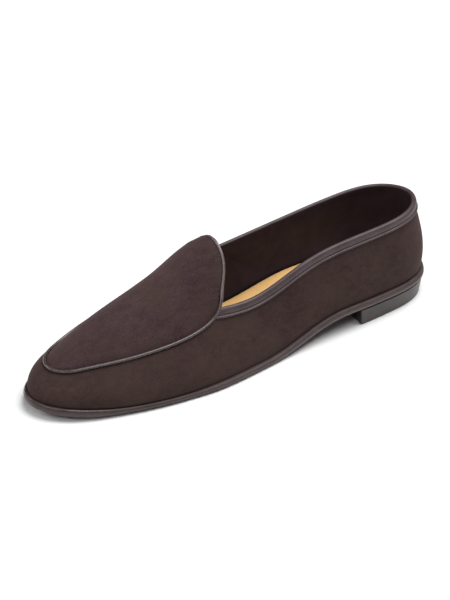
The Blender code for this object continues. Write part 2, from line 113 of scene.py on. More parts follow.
def smoothLine(rows, closed, stepsPerRow):
    scale = (shoe["halfBall"], shoe["length"], shoe["instep"])
    points = (np.array(rows) * scale - (shoe["originAcross"], shoe["originAlong"], 0)) * mm
    count = len(points)
    span = np.linalg.norm(np.roll(points, -1, axis=0) - points, axis=1)
    system = np.eye(count)
    pull = np.zeros((count, 3))
    for row in range(0 if closed else 1, count if closed else count - 1):
        after = (row + 1) % count
        system[row, row] = (span[row - 1] + span[row]) / 3
        system[row, row - 1] = span[row - 1] / 6
        system[row, after] = span[row] / 6
        pull[row] = (points[after] - points[row]) / span[row]
        pull[row] -= (points[row] - points[row - 1]) / span[row - 1]
    bend = np.linalg.solve(system, pull)
    places = []
    for row in range(count if closed else count - 1):
        after = (row + 1) % count
        for share in np.arange(stepsPerRow) / stepsPerRow:
            rest = 1 - share
            sag = (rest**3 - rest) * bend[row] + (share**3 - share) * bend[after]
            places.append(rest * points[row] + share * points[after] + span[row] ** 2 / 6 * sag)
    if not closed:
        places.append(points[-1])
    return np.array(places)


seamSteps = 40
seamLine = smoothLine(seamRows, True, seamSteps)


# small helpers for selecting, reading and shaping
joining = {"weld": 0.02, "faceAngle": 60, "shapeAngle": 70}  # mm, then degrees


def activate(piece):
    if bpy.context.object and bpy.context.object.mode != "OBJECT":
        bpy.ops.object.mode_set(mode="OBJECT")
    bpy.ops.object.select_all(action="DESELECT")
    piece.select_set(True)
    bpy.context.view_layer.objects.active = piece


def copyNode(nodeName, pieceName):
    piece = bpy.data.objects.new(pieceName, frame["nodes"][nodeName].data.copy())
    bpy.context.scene.collection.objects.link(piece)
    activate(piece)
    bpy.ops.mesh.customdata_custom_splitnormals_clear()
    bpy.ops.object.mode_set(mode="EDIT")
    bpy.ops.mesh.select_all(action="SELECT")
    bpy.ops.mesh.remove_doubles(threshold=joining["weld"] * mm)
    bpy.ops.mesh.tris_convert_to_quads(
        face_threshold=math.radians(joining["faceAngle"]),
        shape_threshold=math.radians(joining["shapeAngle"]),
    )
    bpy.ops.object.mode_set(mode="OBJECT")
    piece.data.materials.clear()
    return piece


def smoothen(piece, levels):
    activate(piece)
    bpy.ops.object.modifier_add(type="SUBSURF")
    modifier = piece.modifiers[-1]
    modifier.levels = levels
    modifier.render_levels = levels
    bpy.ops.object.modifier_apply(modifier=modifier.name)
    bpy.ops.object.shade_smooth()


def readPlaces(piece):
    places = np.empty(len(piece.data.vertices) * 3)
    piece.data.vertices.foreach_get("co", places)
    return places.reshape(-1, 3)


def readNormals(piece):
    normals = np.empty(len(piece.data.vertices) * 3)
    piece.data.vertices.foreach_get("normal", normals)
    return normals.reshape(-1, 3)


def writePlaces(piece, places):
    piece.data.vertices.foreach_set("co", places.ravel())
    piece.data.update()


def readFaces(piece):
    middles = np.empty(len(piece.data.polygons) * 3)
    normals = np.empty(len(piece.data.polygons) * 3)
    piece.data.polygons.foreach_get("center", middles)
    piece.data.polygons.foreach_get("normal", normals)
    return middles.reshape(-1, 3), normals.reshape(-1, 3)


def nearestOn(line, places):
    index = np.empty(len(places), int)
    block = 4000  # points at a time, to spare memory
    for start in range(0, len(places), block):
        part = places[start:start + block]
        index[start:start + block] = ((part[:, None] - line[None]) ** 2).sum(axis=2).argmin(axis=1)
    return index, np.linalg.norm(places - line[index], axis=1)


def unitRows(rows):
    return rows / np.linalg.norm(rows, axis=1)[:, None]


def lengthAlong(line):
    return np.concatenate([[0], np.cumsum(np.linalg.norm(np.diff(line, axis=0), axis=1))])


def markValues(piece, name, values):
    attribute = piece.data.attributes.new(name, "FLOAT", "POINT")
    attribute.data.foreach_set("value", values.astype(np.float32))


def markAlong(piece, line):
    # how far along the line each point lies, for wrinkles that run across a roll
    places = readPlaces(piece)
    index = nearestOn(line, places)[0]
    ways = unitRows(np.gradient(line, axis=0))
    markValues(piece, "along", lengthAlong(line)[index] + ((places - line[index]) * ways[index]).sum(axis=1))


def easeIn(share):
    share = np.clip(share, 0, 1)
    return share * share * (3 - 2 * share)


def growFrom(value, start, fade):
    return easeIn((value - start) / fade)


def tabShare(row, start, fade):
    # 1 along the tab's free edge, between the two throats
    return growFrom(row, outerThroat - start, fade) * growFrom(-row, -innerThroat - start, fade)


def squareTo(way, direction):
    direction = np.array(direction) - (np.array(direction) @ way) * way
    return direction / np.linalg.norm(direction)


def treeOf(piece):
    return BVHTree.FromPolygons(
        [vertex.co for vertex in piece.data.vertices], [tuple(face.vertices) for face in piece.data.polygons]
    )


def insideOutline(places, line):
    inside = np.zeros(len(places), bool)
    for first, second in zip(line, np.roll(line, -1, axis=0)):
        crosses = (first[1] > places[:, 1]) != (second[1] > places[:, 1])
        rise = np.where(crosses, second[1] - first[1], 1)
        meets = first[0] + (places[:, 1] - first[1]) / rise * (second[0] - first[0])
        inside ^= crosses & (places[:, 0] < meets)
    return inside


def outOfFoot(places):
    half = footLine["halfLength"] * mm
    axis = np.zeros_like(places)
    axis[:, 0] = footLine["across"] * mm
    axis[:, 1] = np.clip(places[:, 1], -half, half)
    axis[:, 2] = footLine["toeHeight"] * mm + footLine["rise"] * (axis[:, 1] + half)
    return unitRows(places - axis)


# material helpers
def startMaterial(name):
    material = bpy.data.materials.new(name)
    material.use_nodes = True
    tree = material.node_tree
    place = tree.nodes.new("ShaderNodeTexCoord").outputs["Object"]
    return material, tree, tree.nodes["Principled BSDF"], place


def valueOf(tree, name):
    node = tree.nodes.new("ShaderNodeAttribute")
    node.attribute_name = name
    return node.outputs["Fac"]


def noiseOn(tree, place, scale, detail=3.0, roughness=0.5, stretch=(1, 1, 1)):
    mapping = tree.nodes.new("ShaderNodeMapping")
    mapping.inputs["Scale"].default_value = stretch
    node = tree.nodes.new("ShaderNodeTexNoise")
    node.inputs["Scale"].default_value = scale
    node.inputs["Detail"].default_value = detail
    node.inputs["Roughness"].default_value = roughness
    tree.links.new(place, mapping.inputs["Vector"])
    tree.links.new(mapping.outputs["Vector"], node.inputs["Vector"])
    return node.outputs["Fac"]


def cellsOn(tree, place, scale):
    node = tree.nodes.new("ShaderNodeTexVoronoi")
    node.feature = "SMOOTH_F1"
    node.inputs["Scale"].default_value = scale
    tree.links.new(place, node.inputs["Vector"])
    return node.outputs["Distance"]


def rescale(tree, value, low, high, toLow=0.0, toHigh=1.0):
    node = tree.nodes.new("ShaderNodeMapRange")
    for socket, number in zip(("From Min", "From Max", "To Min", "To Max"), (low, high, toLow, toHigh)):
        node.inputs[socket].default_value = number
    tree.links.new(value, node.inputs["Value"])
    return node.outputs["Result"]


def weigh(tree, first, firstShare, second, secondShare):
    scaled = tree.nodes.new("ShaderNodeMath")
    scaled.operation = "MULTIPLY"
    scaled.inputs[1].default_value = secondShare
    tree.links.new(second, scaled.inputs[0])
    total = tree.nodes.new("ShaderNodeMath")
    total.operation = "MULTIPLY_ADD"
    total.inputs[1].default_value = firstShare
    tree.links.new(first, total.inputs[0])
    tree.links.new(scaled.outputs[0], total.inputs[2])
    return total.outputs[0]


def mixColours(tree, share, first, second):
    node = tree.nodes.new("ShaderNodeMix")
    node.data_type = "RGBA"
    tree.links.new(share, node.inputs["Factor"])
    for socket, colour in (("A", first), ("B", second)):
        target = next(s for s in node.inputs if s.name == socket and s.type == "RGBA")
        if isinstance(colour, tuple):
            target.default_value = (*colour, 1)
        else:
            tree.links.new(colour, target)
    return next(s for s in node.outputs if s.type == "RGBA")


def bumpFrom(tree, height, strength, depth, under=None):
    node = tree.nodes.new("ShaderNodeBump")
    node.inputs["Strength"].default_value = strength
    node.inputs["Distance"].default_value = depth
    tree.links.new(height, node.inputs["Height"])
    if under:
        tree.links.new(under, node.inputs["Normal"])
    return node.outputs["Normal"]


# suede: brushed patches, a fine mottle and short fibres
suedeLook = {
    "wall": {
        "shade": (0.0228, 0.0123, 0.0114), "bright": (0.0566, 0.0344, 0.0314), "brush": (1.0, 0.7, 1.0),
    },
    # the apron's suede is lighter than the wall's: its own brushing, and a painted lightness standing in for
    # the top light on it
    "apron": {
        "shade": (0.0268, 0.0143, 0.0149), "bright": (0.0695, 0.0413, 0.0433), "brush": (1.0, 0.45, 1.0),
    },
    "olive": (0.0470, 0.0300, 0.0235),
    "fleck": (0.150, 0.108, 0.104),
    "sheen": 0.09,
    "sheenTint": (0.80, 0.58, 0.58),
    "sheenRoughness": 0.5,
    "specular": 0.12,
    "roughness": (0.86, 1.0),
    # noise scales, and what the first three count for in the nap
    "patches": 30,
    "mottle": 260,
    "fibres": 1500,
    "oliveDrift": 55,
    "flecks": 900,
    "napShares": (0.22, 0.34, 0.44),
    "oliveShare": 0.55,
    "fleckShare": 0.7,
    # strength and depth in mm
    "mottleBump": (0.35, 0.5),
    "fibreBump": (0.55, 0.25),
}


def makeSuede(name, look):
    material, tree, shader, place = startMaterial(name)
    patches = noiseOn(tree, place, suedeLook["patches"], 3, 0.55)
    mottle = noiseOn(tree, place, suedeLook["mottle"], 4, 0.6, look["brush"])
    fibres = noiseOn(tree, place, suedeLook["fibres"], 3, 0.7, look["brush"])
    patchShare, mottleShare, fibreShare = suedeLook["napShares"]
    nap = weigh(tree, weigh(tree, patches, patchShare, mottle, mottleShare), 1.0, fibres, fibreShare)
    tone = mixColours(tree, rescale(tree, nap, 0.36, 0.64), look["shade"], look["bright"])
    drift = noiseOn(tree, place, suedeLook["oliveDrift"], 3, 0.5)
    oliveShare = rescale(tree, drift, 0.42, 0.70, 0.0, suedeLook["oliveShare"])
    tone = mixColours(tree, oliveShare, tone, suedeLook["olive"])
    flecks = noiseOn(tree, place, suedeLook["flecks"], 2, 0.7)
    fleckShare = rescale(tree, flecks, 0.70, 0.80, 0.0, suedeLook["fleckShare"])
    tone = mixColours(tree, fleckShare, tone, suedeLook["fleck"])
    tree.links.new(tone, shader.inputs["Base Color"])
    tree.links.new(rescale(tree, mottle, 0.3, 0.7, *suedeLook["roughness"]), shader.inputs["Roughness"])
    shader.inputs["Specular IOR Level"].default_value = suedeLook["specular"]
    shader.inputs["Sheen Weight"].default_value = suedeLook["sheen"]
    shader.inputs["Sheen Roughness"].default_value = suedeLook["sheenRoughness"]
    shader.inputs["Sheen Tint"].default_value = (*suedeLook["sheenTint"], 1)
    strength, depth = suedeLook["mottleBump"]
    normal = bumpFrom(tree, mottle, strength, depth * mm)
    strength, depth = suedeLook["fibreBump"]
    normal = bumpFrom(tree, fibres, strength, depth * mm, normal)
    tree.links.new(normal, shader.inputs["Normal"])
    return material


# smooth leather: fine grain, cloudy gloss; depths in mm
leatherLook = {
    "coatRoughness": 0.28,
    "glossClouds": 2.3,  # times as fine as the colour's clouds
    "glossRange": (-0.06, 0.08),
    "grainDepth": 0.10,
    "poreScale": 2.2,  # times as fine as the grain
    "poreStrength": 0.6,  # of the grain's
    "poreDepth": 0.06,
    "dimpleScale": 130,
    "dimpleDepth": 0.6,
    "wrinkleDepth": 0.18,
    "crestHighlightShare": 0.55,
    "strayScale": 900,
    "stray": 1.6,  # in wrinkles
}


def makeLeather(name, look):
    material, tree, shader, place = startMaterial(name)
    clouds = noiseOn(tree, place, look["clouds"], 4, 0.6)
    tone = mixColours(tree, rescale(tree, clouds, 0.32, 0.68), look["shade"], look["bright"])
    rough = look["roughness"]
    if "polished" in look:
        shine = rescale(tree, valueOf(tree, "polish"), 0, 1, rough, look["polished"])
    else:
        gloss = noiseOn(tree, place, look["clouds"] * leatherLook["glossClouds"], 3, 0.6)
        least, most = leatherLook["glossRange"]
        shine = rescale(tree, gloss, 0.3, 0.7, rough + least, rough + most)
    grain = cellsOn(tree, place, look["grain"])
    pores = noiseOn(tree, place, look["grain"] * leatherLook["poreScale"], 2, 0.6)
    poreStrength = look["grainStrength"] * leatherLook["poreStrength"]
    normal = bumpFrom(tree, grain, look["grainStrength"], leatherLook["grainDepth"] * mm)
    normal = bumpFrom(tree, pores, poreStrength, leatherLook["poreDepth"] * mm, normal)
    if "dimples" in look:
        dimples = noiseOn(tree, place, leatherLook["dimpleScale"], 2, 0.5)
        normal = bumpFrom(tree, dimples, look["dimples"], leatherLook["dimpleDepth"] * mm, normal)
    if "wrinkle" in look:
        ripples = ripplesAcross(tree, place, look["wrinklePitch"])
        normal = bumpFrom(tree, ripples, look["wrinkle"], leatherLook["wrinkleDepth"] * mm, normal)
        # the ripples' crests are painted paler, a painted highlight on the wrinkles' ridges
        crests = rescale(tree, ripples, 0.45, 0.75, 0.0, leatherLook["crestHighlightShare"])
        tone = mixColours(tree, crests, tone, look["crestHighlight"])
    # paler tone where a piece marks it: a painted reflection, standing in for light caught by the tab's
    # piping and the sole's lower rim
    if "paintedReflection" in look:
        tone = mixColours(tree, valueOf(tree, "paintedReflection"), tone, look["paintedReflection"])
    tree.links.new(tone, shader.inputs["Base Color"])
    tree.links.new(shine, shader.inputs["Roughness"])
    tree.links.new(normal, shader.inputs["Normal"])
    shader.inputs["Specular IOR Level"].default_value = look["specular"]
    shader.inputs["Coat Weight"].default_value = look.get("coat", 0.0)
    shader.inputs["Coat Roughness"].default_value = leatherLook["coatRoughness"]
    return material


def ripplesAcross(tree, place, pitch):
    along = valueOf(tree, "along")
    strayNoise = noiseOn(tree, place, leatherLook["strayScale"], 2, 0.5)
    stray = rescale(tree, strayNoise, 0.0, 1.0, 0.0, leatherLook["stray"])
    count = tree.nodes.new("ShaderNodeMath")
    count.operation = "MULTIPLY_ADD"
    count.inputs[1].default_value = 1 / (pitch * mm)
    tree.links.new(along, count.inputs[0])
    tree.links.new(stray, count.inputs[2])
    ripple = tree.nodes.new("ShaderNodeTexNoise")
    ripple.noise_dimensions = "1D"
    ripple.inputs["Scale"].default_value = 1.0
    ripple.inputs["Detail"].default_value = 2.0
    tree.links.new(count.outputs[0], ripple.inputs["W"])
    return ripple.outputs["Fac"]


# upper: the imported shape, smoothed, with a few listed soft creases
upperLook = {
    "levels": 2,
    # how the tab's free edge is drawn to its piping, in mm; its start and fade are in rows of the seam
    "tabReach": 0.75,
    "tabNear": 1.4,
    "tabFar": 5,
    "tabLeastGap": 0.1,
    "tabMostShare": 0.9,
    "tabStart": 0.4,
    "tabFade": 0.5,
    "liningFacing": -0.15,  # faces turned further in than this are lining
    "lining": {
        "shade": (0.0215, 0.0135, 0.0215), "bright": (0.0310, 0.0202, 0.0320), "clouds": 60, "grain": 1500,
        "roughness": 0.70, "specular": 0.18, "grainStrength": 0.25,
    },
    # middle and run of each crease in mm, half its length and width, and how deep it is; minus stands proud
    "creases": (
        {"at": (43, -38, 22), "run": (0.2, 0.5, 1.0), "half": 13, "width": 5.0, "depth": 0.45},
        {"at": (44, -22, 24), "run": (0.1, 0.6, 1.0), "half": 15, "width": 5.5, "depth": 0.55},
        {"at": (43, -5, 27), "run": (0.0, 0.7, 1.0), "half": 15, "width": 6.0, "depth": -0.40},
        {"at": (40, 18, 26), "run": (0.0, 0.9, 0.6), "half": 18, "width": 7.0, "depth": 0.40},
        {"at": (-42, -36, 22), "run": (-0.2, 0.5, 1.0), "half": 13, "width": 5.0, "depth": 0.45},
        {"at": (-40, -18, 25), "run": (-0.1, 0.6, 1.0), "half": 15, "width": 5.5, "depth": 0.50},
        {"at": (8, -42, 62), "run": (1.0, 0.1, -0.2), "half": 16, "width": 6.0, "depth": 0.45},
        {"at": (-4, -58, 55), "run": (1.0, -0.1, 0.0), "half": 18, "width": 7.0, "depth": -0.30},
        {"at": (-13, -17, 72), "run": (0.8, 0.1, 0.5), "half": 9, "width": 6.5, "depth": -0.70},
        {"at": (-29.7, 22.3, 36), "run": (-0.1, 0.76, -0.65), "half": 9, "width": 1.5, "depth": -1.1},
    ),
}

upper = copyNode("upper", "suede_upper")
smoothen(upper, upperLook["levels"])
places = readPlaces(upper)
away = outOfFoot(places)
shift = np.zeros(len(places))
for crease in upperLook["creases"]:
    run = np.array(crease["run"]) / np.linalg.norm(crease["run"])
    offset = places - np.array(crease["at"]) * mm
    along = offset @ run
    across = np.linalg.norm(offset - along[:, None] * run, axis=1)
    reach = np.exp(-((across / (crease["width"] * mm)) ** 2) - (along / (crease["half"] * mm)) ** 2)
    shift -= crease["depth"] * mm * reach
places += shift[:, None] * away
# the tab's free edge reaches into the piping that is sewn round it
index, far = nearestOn(seamLine, places)
row = index / seamSteps
onTab = tabShare(row, upperLook["tabStart"], upperLook["tabFade"])
close = easeIn(1 - (far - upperLook["tabNear"] * mm) / (upperLook["tabFar"] * mm))
toSeam = seamLine[index] - places
toSeam -= (toSeam * away).sum(axis=1)[:, None] * away
gap = np.maximum(np.linalg.norm(toSeam, axis=1), upperLook["tabLeastGap"] * mm)
pull = np.minimum(upperLook["tabReach"] * mm * onTab * close / gap, upperLook["tabMostShare"])
places += pull[:, None] * toSeam
writePlaces(upper, places)
upper.data.materials.append(makeSuede("brownSuedeWall", suedeLook["wall"]))
upper.data.materials.append(makeSuede("brownSuedeApronPaintedLighter", suedeLook["apron"]))
darkLining = makeLeather("darkLining", upperLook["lining"])
upper.data.materials.append(darkLining)
# 0 is the wall, 1 the apron and 2 the lining
middles, normals = readFaces(upper)
panel = np.where(insideOutline(middles, seamLine), 1, 0)
panel[(normals * outOfFoot(middles)).sum(axis=1) < upperLook["liningFacing"]] = 2
upper.data.polygons.foreach_set("material_index", panel.astype(np.int32))
print("upper:", len(upper.data.polygons), "faces,", len(upperLook["creases"]), "creases")

# piping: the cord round the apron, a little wrinkled where the leather is folded round it
pipingLook = {
    "levels": 2,
    "leather": {
        "shade": (0.034, 0.0212, 0.0212), "bright": (0.056, 0.0370, 0.0370), "clouds": 300, "grain": 1800,
        "roughness": 0.27, "specular": 0.55, "coat": 0.45, "grainStrength": 0.14,
        "wrinkle": 0.22, "wrinklePitch": 0.9, "crestHighlight": (0.092, 0.066, 0.066), "paintedReflection": (0.135, 0.101, 0.101),
    },
    "swell": 0.14,  # mm, which the smoothing takes off
    # share of the painted reflection on the tab's piping
    "tabReflection": 0.7,
    "paintedReflectionFade": 1.5,  # rows of the seam
}
piping = copyNode("apron_piping", "apron_piping_cord")
smoothen(piping, pipingLook["levels"])
places = readPlaces(piping)
places += pipingLook["swell"] * mm * readNormals(piping)
writePlaces(piping, places)
markAlong(piping, seamLine)
row = nearestOn(seamLine, places)[0] / seamSteps
# the tab's piping is painted paler, a painted broad reflection where it faces the front light
markValues(piping, "paintedReflection", pipingLook["tabReflection"] * tabShare(row, 0, pipingLook["paintedReflectionFade"]))
piping.data.materials.append(makeLeather("pipingLeather", pipingLook["leather"]))
print("piping:", len(piping.data.polygons), "faces")

# binding: a padded roll folded over the collar, with a bead along its lower edge
bindingLook = {
    "levels": 1,
    "stepsPerRow": 26,
    # out of the wall and below the collar's edge in mm: bead, stitched groove, roll, fold and inside
    "section": (
        (0.15, 6.45), (0.75, 6.42), (1.22, 6.15), (1.42, 5.70), (1.30, 5.22), (0.95, 4.92),
        (0.62, 4.72), (0.60, 4.45), (0.80, 4.05), (1.05, 3.45), (1.22, 2.75), (1.27, 2.00),
        (1.20, 1.30), (0.98, 0.62), (0.60, 0.05), (0.05, -0.36), (-0.60, -0.52), (-1.25, -0.42),
        (-1.75, -0.08), (-2.04, 0.50), (-2.14, 1.40), (-2.12, 3.00), (-2.03, 4.20), (-1.88, 4.50),
    ),
    "grooveColumn": 7,
    "grooveDepth": 4.6,
    "rollDepth": 3.8,  # mm below the edge, down to which the roll is free of the wall
    "seatFade": 1.2,  # mm further down, where it is seated on the wall
    "leanDepth": 1.5,  # mm below the edge, where the wall's lean is read
    "castFrom": 15,  # mm outside the collar, where rays to the wall start
    "wall": 1.8,
    "liningSkin": 0.1,  # mm between the leather's inner face and the lining, and then the suede
    "suedeSkin": 0.08,
    "slantSteps": 4,  # of the seam line, each way from the throat, where its slant is read
    "endFade": 18.0,  # mm over which the front ends slant to the piping
    "endOverlap": 0.1,  # mm that they run on towards it
    "endDip": 0.3,  # share of their thickness that they lose
    "dipFade": 4,
    "insideSetback": 6.5,
    "leafFacing": -0.45,  # faces turned further in than this are lining leather
    "leather": {
        "shade": (0.047, 0.0282, 0.0302), "bright": (0.075, 0.0485, 0.0520), "clouds": 70, "grain": 1500,
        "roughness": 0.42, "specular": 0.34, "coat": 0.06, "grainStrength": 0.14, "dimples": 0.22,
    },
}
collarSpots = smoothLine(collarRows, False, bindingLook["stepsPerRow"])
collarWays = unitRows(np.gradient(collarSpots, axis=0))
collarOuts = unitRows(np.stack([collarWays[:, 1], -collarWays[:, 0], np.zeros(len(collarWays))], axis=1))
collarOuts *= np.sign((collarOuts * outOfFoot(collarSpots)).sum(axis=1))[:, None]
upperTree = treeOf(upper)


def wallAt(spot, out):
    start = spot + bindingLook["castFrom"] * mm * out
    hit, normal, face, far = upperTree.ray_cast(Vector(start), Vector(-out))
    return (np.array(hit), np.array(normal)) if hit is not None else (spot, out)


def bindingRows():
    section = np.array(bindingLook["section"])
    # the leather's own inner face, against the suede and the lining
    skin = bindingLook["suedeSkin"]
    deepest = -bindingLook["wall"] - bindingLook["liningSkin"]
    inner = np.stack([np.clip(section[:, 0], deepest, skin), np.maximum(section[:, 1], -skin)], axis=1)
    both = np.concatenate([section, inner[::-1]])
    outside = both[:, 0] > 0
    shift = np.zeros((len(collarSpots), len(both)))
    dip = np.ones(len(collarSpots))
    for end, seamRow, sign in ((0, outerThroat, 1), (-1, innerThroat, -1)):
        throat = seamRow * seamSteps
        steps = sign * bindingLook["slantSteps"]
        ahead = seamLine[throat - steps] - seamLine[throat + steps]
        slant = -(ahead @ collarWays[end]) / ahead[2]
        travelled = np.linalg.norm(collarSpots - collarSpots[end], axis=1)
        fade = 1 - easeIn(travelled / (bindingLook["endFade"] * mm))
        outsideShift = slant * both[:, 1] - sign * bindingLook["endOverlap"]
        shift += fade[:, None] * np.where(outside, outsideShift, sign * bindingLook["insideSetback"])
        dip -= bindingLook["endDip"] * (1 - easeIn(travelled / (bindingLook["dipFade"] * mm)))
    rows = []
    for spot, way, out, moves, low in zip(collarSpots, collarWays, collarOuts, shift, dip):
        lean = wallAt(spot - (0, 0, bindingLook["leanDepth"] * mm), out)[1]
        above = np.cross(way, lean) * np.sign(np.cross(way, lean)[2])
        # the roll stands on a straight line from the collar's edge to its groove
        above = squareTo(way, spot - wallAt(spot - bindingLook["grooveDepth"] * mm * above, out)[0])
        lean = np.cross(above, way) * np.sign(np.cross(above, way) @ lean)
        row = []
        for (off, depth), move in zip(both, moves):
            start = spot + move * mm * way
            free = start + off * low * mm * lean - depth * mm * above
            if depth > bindingLook["rollDepth"] and off > 0:
                base, normal = wallAt(start - depth * mm * above, out)
                seated = base + off * low * mm * normal
                free += growFrom(depth, bindingLook["rollDepth"], bindingLook["seatFade"]) * (seated - free)
            row.append(free)
        rows.append(row)
    return np.array(rows)


def ladder(first, second, closed=False):
    count = len(first)
    steps = [(here, (here + 1) % count) for here in range(count if closed else count - 1)]
    return [(first[here], first[after], second[after], second[here]) for here, after in steps]


def meshPiece(name, places, faces):
    mesh = bpy.data.meshes.new(name)
    mesh.from_pydata(places.tolist(), [], faces)
    piece = bpy.data.objects.new(name, mesh)
    bpy.context.scene.collection.objects.link(piece)
    activate(piece)
    bpy.ops.object.mode_set(mode="EDIT")
    bpy.ops.mesh.select_all(action="SELECT")
    bpy.ops.mesh.normals_make_consistent(inside=False)
    bpy.ops.object.mode_set(mode="OBJECT")
    return piece


def sweptPiece(name, rows, closed):
    stations, columns = rows.shape[:2]
    numbers = np.arange(stations * columns).reshape(stations, columns).tolist()
    faces = []
    for first, second in zip(numbers, numbers[1:] + numbers[:1] if closed else numbers[1:]):
        faces += ladder(first, second, closed=True)
    for end in () if closed else (numbers[0], numbers[-1]):
        faces += ladder(end[:columns // 2], end[:columns // 2 - 1:-1])
    return meshPiece(name, rows.reshape(-1, 3), faces)


rows = bindingRows()
binding = sweptPiece("collar_binding_roll", rows, closed=False)
smoothen(binding, bindingLook["levels"])
grooveLine = rows[:, bindingLook["grooveColumn"]]
binding.data.materials.append(makeLeather("bindingLeather", bindingLook["leather"]))
binding.data.materials.append(darkLining)
middles, normals = readFaces(binding)
insideLeaf = (normals * outOfFoot(middles)).sum(axis=1) < bindingLook["leafFacing"]
binding.data.polygons.foreach_set("material_index", insideLeaf.astype(np.int32))
print("binding:", len(binding.data.polygons), "faces")

# insole, welt, outsole and heel
insoleLook = {
    "levels": 1,
    "leather": {
        "shade": (0.83, 0.48, 0.18), "bright": (0.93, 0.57, 0.233), "clouds": 45, "grain": 1100,
        "roughness": 0.55, "specular": 0.35, "grainStrength": 0.18,
    },
}
insole = copyNode("insole", "tan_insole")
smoothen(insole, insoleLook["levels"])
insole.data.materials.append(makeLeather("tanInsoleLeather", insoleLook["leather"]))

weltLook = {
    "levels": 1,
    "sideSteps": 260,
    "turnSteps": 110,
    # mm out from the foot's middle line, between which the sole's rim is looked for, and how closely
    "rimNear": 15,
    "rimFar": 70,
    "rimStep": 0.01,
    "rimPasses": 2,
    "ledgeInset": 1.3,  # mm in from the rim, where the ledge's height is read
    "castFrom": 3,  # mm outside the rim, where rays to the suede wall start
    "wallHeight": 1.4,  # mm above the outsole, where the suede wall is met
    "crestShares": (0.35, 0.45, 0.55, 0.65),  # of the ledge, where the solid's top is looked for
    "profilePasses": 6,
    "rollShare": 0.62,  # of the solid's height
    "ball": (-95, 40, 40),  # start and end along the shoe in mm, and the fade at both
    "polishedTo": -125,  # mm along the shoe, behind which the gloss of the toe fades
    "polishFade": 35,
    # share of the ledge out from the wall, and share of the roll's height
    "section": (
        (-0.22, 0.10), (-0.20, 0.74), (-0.02, 0.70), (0.12, 0.78), (0.30, 0.92), (0.48, 1.00), (0.64, 0.94),
        (0.78, 0.58), (0.90, 0.10), (0.93, -0.12), (0.70, -0.16), (0.30, -0.16), (-0.10, -0.12),
    ),
    "ballSection": (
        (-0.22, 0.10), (-0.20, 0.80), (-0.02, 0.74), (0.12, 0.73), (0.30, 0.72), (0.50, 0.68), (0.68, 0.58),
        (0.80, 0.40), (0.90, 0.10), (0.93, -0.12), (0.70, -0.16), (0.30, -0.16), (-0.10, -0.12),
    ),
    "leather": {
        "shade": (0.038, 0.0235, 0.0230), "bright": (0.062, 0.0405, 0.0395), "clouds": 160, "grain": 1300,
        "roughness": 0.62, "specular": 0.50, "grainStrength": 0.26, "polished": 0.20,
        "wrinkle": 0.32, "wrinklePitch": 0.8, "crestHighlight": (0.066, 0.045, 0.045),
    },
}
outsoleLook = {
    "levels": 2,
    # mm that the lower edge lifts at the ball; how far in, from what depth with its fade, and where along
    "undercut": 2.4,
    "undercutReach": 7.0,
    "undercutBelow": (1.6, 2),
    "undercutBall": (-118, 20, 35),
    # start and fade of the painted reflection of the floor, which paints the edge paler below the ledge,
    # towards the rim and along the shoe
    "rimReflection": 0.8,
    "rimReflectionBelow": (0.6, 2.2),
    "rimReflectionRim": (0.7, 0.2),
    "rimReflectionAlong": (-120, 50),
    "leather": {
        "shade": (0.044, 0.0270, 0.0265), "bright": (0.068, 0.0450, 0.0440), "clouds": 90, "grain": 900,
        "roughness": 0.42, "specular": 0.38, "coat": 0.10, "grainStrength": 0.22,
        # paler tone of the painted floor reflection on the lower rim
        "paintedReflection": (0.105, 0.076, 0.072),
    },
}
outsole = copyNode("outsole", "outsole_leather")
smoothen(outsole, outsoleLook["levels"])
outsole.data.materials.append(makeLeather("outsoleLeather", outsoleLook["leather"]))
castHeight = 100  # mm, above every piece


def castDown(tree, spot):
    hit, normal, face, far = tree.ray_cast(Vector((*spot, castHeight * mm)), Vector((0, 0, -1)))
    return None if hit is None else hit[2]


def rimOfSole(tree):
    # rays from the line along the middle of the foot, round from the back of the heel
    half, middle = footLine["halfLength"] * mm, footLine["across"] * mm
    sides = np.linspace(-half, half, weltLook["sideSteps"])
    turns = np.linspace(-math.pi / 2, math.pi / 2, weltLook["turnSteps"])[1:-1]
    rays = [((middle, half), (-math.sin(turn), math.cos(turn))) for turn in turns if turn >= 0]
    rays += [((middle, y), (-1, 0)) for y in sides[::-1]]
    rays += [((middle, -half), (math.sin(turn), -math.cos(turn))) for turn in turns]
    rays += [((middle, y), (1, 0)) for y in sides]
    rays += [((middle, half), (-math.sin(turn), math.cos(turn))) for turn in turns if turn < 0]
    spots = []
    for start, way in rays:
        near, far = weltLook["rimNear"] * mm, weltLook["rimFar"] * mm
        while far - near > weltLook["rimStep"] * mm:
            reach = (near + far) / 2
            inside = castDown(tree, np.array(start) + reach * np.array(way)) is not None
            near, far = (reach, far) if inside else (near, reach)
        spots.append(np.array(start) + near * np.array(way))
    return np.array(spots)


def evenOut(values, passes):
    for turn in range(passes):
        values = (np.roll(values, 1, axis=0) + 2 * values + np.roll(values, -1, axis=0)) / 4
    return values


